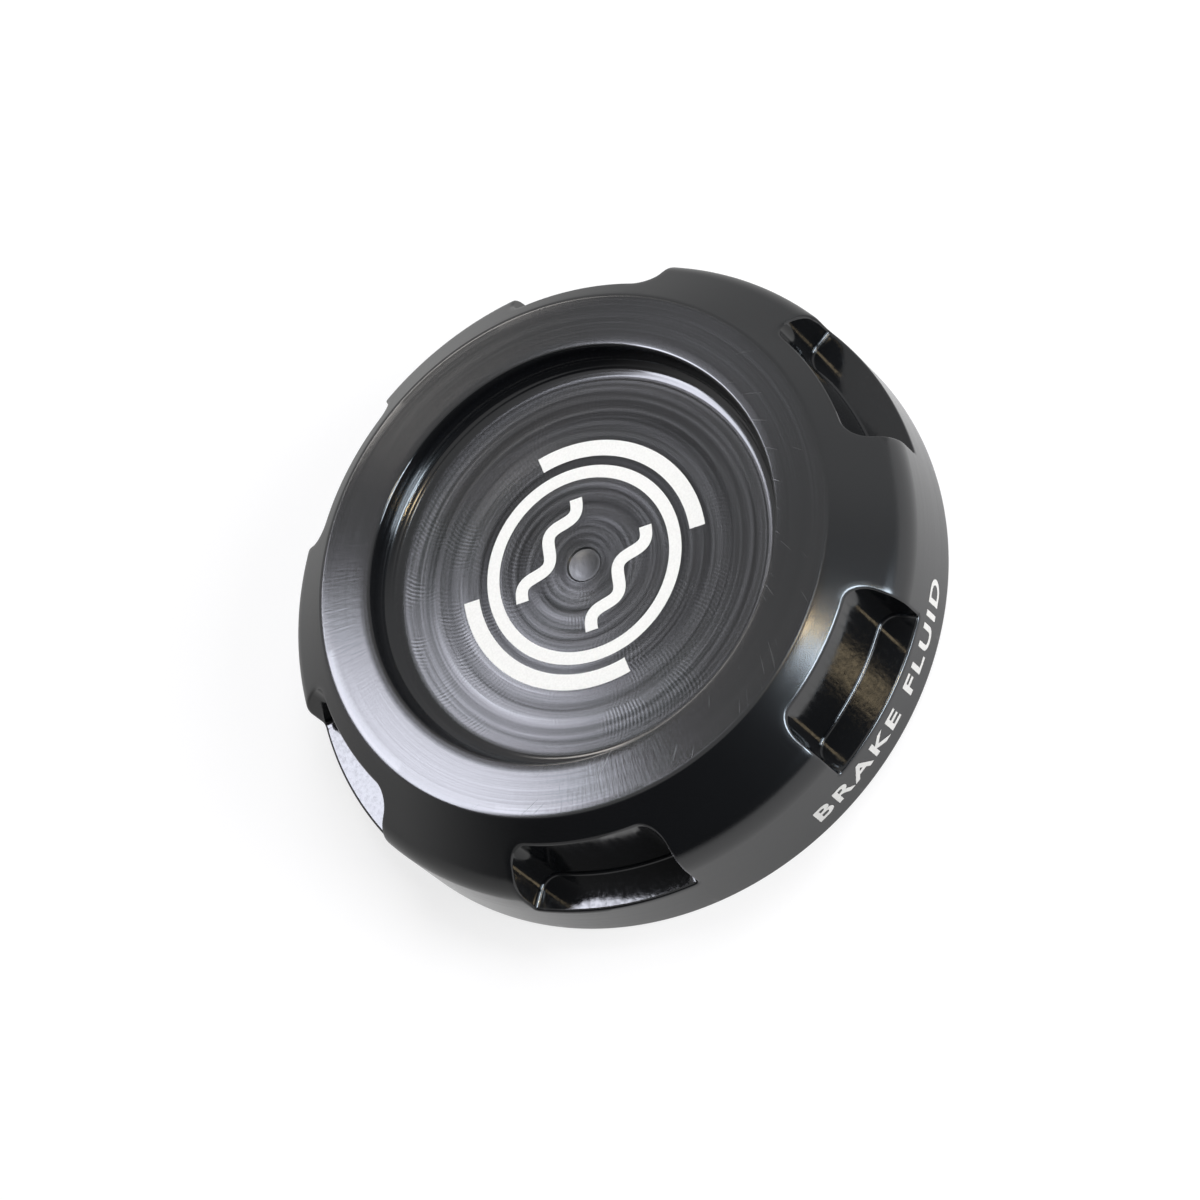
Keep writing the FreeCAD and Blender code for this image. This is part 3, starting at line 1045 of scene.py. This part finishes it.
class CAP_OT_sign(Operator):
    """Etch a plain sign into the dish: a ring with two wavy lines between two arcs"""
    bl_idname = "cap.sign"
    bl_label = "Sign in the dish"
    arc_steps, ring_steps, wave_steps = 80, 160, 90

    def band(self, work, left, right):
        """A flat band between two lines of points."""
        rows = [[work.verts.new((*p, 0.0)) for p in line] for line in (left, right)]
        for i in range(len(left) - 1):
            work.faces.new((rows[0][i], rows[0][i + 1], rows[1][i + 1], rows[1][i]))

    def ring(self, work, inner, outer, start, end, steps):
        """A part of a ring, between two angles."""
        angles = spaced(start, end, steps)
        self.band(work, *[[(r * math.cos(a), r * math.sin(a)) for a in angles]
                          for r in (inner, outer)])

    def wave(self, work, middle, half_width, swell, stroke):
        """A wavy line of even width, two waves long."""
        lines = ([], [])
        rate = 2 * math.pi / half_width
        for x in spaced(-half_width, half_width, self.wave_steps):
            slope = swell * rate * math.cos(x * rate)
            across = Vector((-slope, 1.0)).normalized() * (stroke / 2)
            point = Vector((x, middle + swell * math.sin(x * rate)))
            lines[0].append(point - across)
            lines[1].append(point + across)
        self.band(work, *lines)

    def execute(self, context):
        sizes, marks = context.scene.cap_sizes, context.scene.cap_marks
        work = bmesh.new()
        for middle in (0.0, math.pi):
            self.ring(work, marks.arc_outer - marks.arc_stroke, marks.arc_outer,
                      middle - marks.arc_span / 2, middle + marks.arc_span / 2, self.arc_steps)
        self.ring(work, marks.ring_outer - marks.sign_stroke, marks.ring_outer,
                  0.0, 2 * math.pi, self.ring_steps)
        for middle in (-marks.wave_offset, marks.wave_offset):
            self.wave(work, middle, marks.wave_reach, marks.wave_swell, marks.sign_stroke)
        for v in work.verts:
            v.co.z = sizes.dish_floor + marks.sign_skin
        bmesh.ops.remove_doubles(work, verts=work.verts, dist=WELD)
        mesh = bpy.data.meshes.new("dish_sign")
        work.to_mesh(mesh)
        work.free()
        for polygon in mesh.polygons:
            if polygon.normal.z < 0:
                polygon.flip()
        mesh.materials.append(shared("etched_white", etched_finish, context.scene.cap_finishes))
        finish_piece(new_object("dish_sign", mesh), "white_marking")
        return {"FINISHED"}


def area_lamp(name, place, way, size, radiance, tint, for_gloss):
    """A soft lamp of a given brightness, either mirrored by gloss or lighting what is matt."""
    power_of_radiance = 4     # watts for one unit over one square metre
    width, height = size
    data = bpy.data.lights.new(name, "AREA")
    data.shape = "RECTANGLE"
    data.size, data.size_y = size
    data.energy = radiance * width * height * power_of_radiance
    data.color = tint
    lamp = new_object(name, data)
    lamp.matrix_world = Matrix.LocRotScale(Vector(place), way.to_track_quat("-Z", "Y"), None)
    lamp.visible_glossy, lamp.visible_diffuse = for_gloss, not for_gloss


def stage_sheet(name, rows, material, for_gloss_only):
    """A stage surface through rows of points; one for gloss is seen by mirrored rays alone."""
    mesh = bpy.data.meshes.new(name)
    across = len(rows[0])
    faces = [(i * across + j, i * across + j + 1, (i + 1) * across + j + 1, (i + 1) * across + j)
             for i in range(len(rows) - 1) for j in range(across - 1)]
    mesh.from_pydata([p for row in rows for p in row], [], faces)
    mesh.materials.append(material)
    sheet = new_object(name, mesh)
    if for_gloss_only:
        sheet.visible_camera = sheet.visible_diffuse = sheet.visible_shadow = False
    sheet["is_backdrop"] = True


def seen_rays(tree):
    """One for rays that show the background: straight, mirrored or through glass."""
    rays = add(tree, "ShaderNodeLightPath").outputs
    mirrored = calc(tree, "MAXIMUM", rays["Is Glossy Ray"], rays["Is Transmission Ray"])
    return calc(tree, "MAXIMUM", rays["Is Camera Ray"], mirrored)


def glow_material(name):
    """A surface that only glows, and its node tree and strength socket."""
    material = bpy.data.materials.new(name)
    material.use_nodes = True
    tree = material.node_tree
    tree.nodes.remove(tree.nodes["Principled BSDF"])
    glow = add(tree, "ShaderNodeEmission")
    plug(tree, tree.nodes["Material Output"].inputs["Surface"], glow.outputs[0])
    return material, tree, glow.inputs["Strength"]


class CAP_OT_stage(Operator):
    """Set up the floor, the lamps, the screens that the gloss mirrors and the camera"""
    bl_idname = "cap.stage"
    bl_label = "Stage"
    floor_reach, floor_drop = 3.0, 0.02 * MM

    # Screens in metres: the round one is dark on one side, the low one lies behind the cap
    screen_radius, screen_height, screen_steps = 0.8, 0.8, 96
    dark_side = (-0.62, -0.78, 0.0)
    bright_glow, dark_glow, low_glow = 0.75, 0.04, 0.5
    low_reach, low_height, low_steps = (0.036, 0.5), 0.001, 64
    low_from, low_to = math.radians(-25), math.radians(205)

    # Lamps in metres: place, width and length, brightness and colour
    lamps = (
        ("key_lamp", (-0.130, 0.302, 0.42), (0.340, 0.164), 15.8, (0.86, 0.88, 1.0)),
        ("soft_lamp", (0.30, 0.03, 0.52), (0.35, 0.35), 4.6, (1.0, 1.0, 1.0)),
        ("front_fill", (0.22, -0.60, 0.34), (0.5, 0.4), 5.3, (1.0, 0.99, 0.97)),
        ("warm_lamp", (0.13, -0.455, 0.30), (0.022, 0.022), 150.0, (1.0, 0.76, 0.42)),
        ("warm_panel", (0.10, -0.30, 0.48), (0.07, 0.05), 25.0, (1.0, 0.80, 0.50)),
        ("warm_ceiling", (0.17, 0.43, 0.42), (0.16, 0.12), 8.5, (1.0, 0.95, 0.90)),
        ("cool_panel", (0.10, -0.165, 0.46), (0.06, 0.04), 26.0, (0.76, 0.88, 1.0)),
        ("low_panel", (0.10, -0.48, 0.11), (0.24, 0.13), 25.0, (0.76, 0.88, 1.0)),
        ("cool_strip", (0.07, -0.475, 0.26), (0.08, 0.012), 80.0, (0.72, 0.86, 1.0)),
    )
    matt_lamps = ("soft_lamp", "front_fill")        # the others are for the gloss
    level_lamps = ("key_lamp", "warm_ceiling")      # the others face the middle of the cap
    cap_middle = Vector((0.0, 0.0, 0.01))

    def add_floor(self, stage):
        """Pale floor just under the rim, which catches the shadow."""
        material = bpy.data.materials.new("pale_floor")
        material.use_nodes = True
        tree = material.node_tree
        shader = tree.nodes["Principled BSDF"]
        shader.inputs["Base Color"].default_value = (*stage.floor_colour, 1.0)
        shader.inputs["Roughness"].default_value = 0.9
        shader.inputs["Specular IOR Level"].default_value = 0.0
        shader.inputs["Emission Color"].default_value = (1.0, 1.0, 1.0, 1.0)
        plug(tree, shader.inputs["Emission Strength"],
             calc(tree, "MULTIPLY", seen_rays(tree), stage.floor_glow))
        reach, z = self.floor_reach, -self.floor_drop
        stage_sheet("floor", [[(-reach, y, z), (reach, y, z)] for y in (-reach, reach)],
                    material, False)

    def add_sky(self, stage):
        """White background, dimmer for the light that it gives and for what gloss mirrors."""
        world = bpy.data.worlds.new("studio")
        bpy.context.scene.world = world
        world.use_nodes = True
        tree = world.node_tree
        background = tree.nodes["Background"]
        background.inputs["Color"].default_value = (1.0, 1.0, 1.0, 1.0)
        rays = add(tree, "ShaderNodeLightPath").outputs
        level = ramp(tree, rays["Is Glossy Ray"], 0.0, 1.0, stage.sky, stage.sky_mirrored)
        shown = calc(tree, "MAXIMUM", rays["Is Camera Ray"], rays["Is Transmission Ray"])
        plug(tree, background.inputs["Strength"], calc(tree, "MAXIMUM", level, shown))

    def add_screens(self):
        """Grey screens round and behind the cap, dark where the photographer stands."""
        material, tree, strength = glow_material("grey_screen")
        place = add(tree, "ShaderNodeTexCoord").outputs["Object"]
        way = add(tree, "ShaderNodeVectorMath", {0: place}, operation="NORMALIZE").outputs[0]
        towards = add(tree, "ShaderNodeVectorMath", {0: way, 1: self.dark_side},
                      operation="DOT_PRODUCT").outputs["Value"]
        plug(tree, strength, ramp(tree, towards, -0.25, 0.55, self.bright_glow, self.dark_glow))
        around = spaced(0.0, 2 * math.pi, self.screen_steps)
        circle = [(self.screen_radius * math.cos(a), self.screen_radius * math.sin(a)) for a in around]
        stage_sheet("screen_round", [[(x, y, z) for x, y in circle] for z in (0.0, self.screen_height)],
                    material, True)
        low, _, low_strength = glow_material("grey_screen_low")
        low_strength.default_value = self.low_glow
        behind = spaced(self.low_from, self.low_to, self.low_steps)
        stage_sheet("screen_low", [[(r * math.cos(a), r * math.sin(a), self.low_height) for a in behind]
                                   for r in self.low_reach], low, True)

    def add_lamps(self):
        """Soft lamps all round, each for the gloss or for what is matt."""
        for name, place, size, radiance, tint in self.lamps:
            way = self.cap_middle - Vector(place)
            if name in self.level_lamps:
                way = Vector((0.0, 0.0, -1.0))
            area_lamp(name, place, way, size, radiance, tint, name not in self.matt_lamps)

    def add_camera(self, stage):
        """Camera that looks down at the cap, turned about its own line of sight."""
        data = bpy.data.cameras.new("camera")
        data.lens, data.sensor_width = stage.lens, stage.sensor
        data.clip_start, data.clip_end = 0.01, 20.0
        a, e = stage.azimuth, stage.elevation
        back = Vector((math.sin(a) * math.cos(e), -math.cos(a) * math.cos(e), math.sin(e)))
        level = (-back).cross(Vector((0, 0, 1))).normalized()
        upward = level.cross(-back)
        up = math.cos(stage.roll) * upward + math.sin(stage.roll) * level
        right = (-back).cross(up)
        turned = Matrix((right, up, back)).transposed().to_4x4()
        camera = new_object("camera", data)
        camera.matrix_world = Matrix.Translation(Vector(stage.aim) + back * stage.distance) @ turned
        bpy.context.scene.camera = camera

    def execute(self, context):
        stage = context.scene.cap_stage
        self.add_floor(stage)
        self.add_sky(stage)
        self.add_screens()
        self.add_lamps()
        self.add_camera(stage)
        context.scene.view_settings.view_transform = "Standard"
        return {"FINISHED"}


class CAP_PT_panel(Panel):
    """Lists the cap's pieces and sizes"""
    bl_idname = "CAP_PT_panel"
    bl_label = "Machined reservoir cap"
    bl_space_type = "VIEW_3D"
    bl_region_type = "UI"
    bl_category = "Cap"

    def draw(self, context):
        for operator in OPERATORS:
            self.layout.operator(operator.bl_idname)
        for name, group in GROUPS.items():
            box = self.layout.box()
            box.label(text=group.__doc__)
            settings = getattr(context.scene, name)
            for key in group.__annotations__:
                box.prop(settings, key)


GROUPS = {"cap_sizes": CapSizes, "cap_thread": ThreadSizes, "cap_seal": SealSizes,
          "cap_marks": MarkingSizes, "cap_finishes": Finishes, "cap_stage": StageSizes}
OPERATORS = (CAP_OT_body, CAP_OT_thread, CAP_OT_seal, CAP_OT_words, CAP_OT_sign, CAP_OT_stage)


def register():
    for group in GROUPS.values():
        bpy.utils.register_class(group)
    for name, group in GROUPS.items():
        setattr(bpy.types.Scene, name, PointerProperty(type=group))
    for operator in OPERATORS:
        bpy.utils.register_class(operator)
    bpy.utils.register_class(CAP_PT_panel)


def unregister():
    bpy.utils.unregister_class(CAP_PT_panel)
    for operator in reversed(OPERATORS):
        bpy.utils.unregister_class(operator)
    for name in GROUPS:
        delattr(bpy.types.Scene, name)
    for group in GROUPS.values():
        bpy.utils.unregister_class(group)


def main():
    register()
    bpy.ops.cap.body()
    bpy.ops.cap.thread()
    bpy.ops.cap.seal()
    bpy.ops.cap.words()
    bpy.ops.cap.sign()
    bpy.ops.cap.stage()
    boxes = {"cad": CAD_BOX, "visual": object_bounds()}
    {name: [list(corner) for corner in box] for name, box in boxes.items()}


if __name__ == "__main__":
    main()
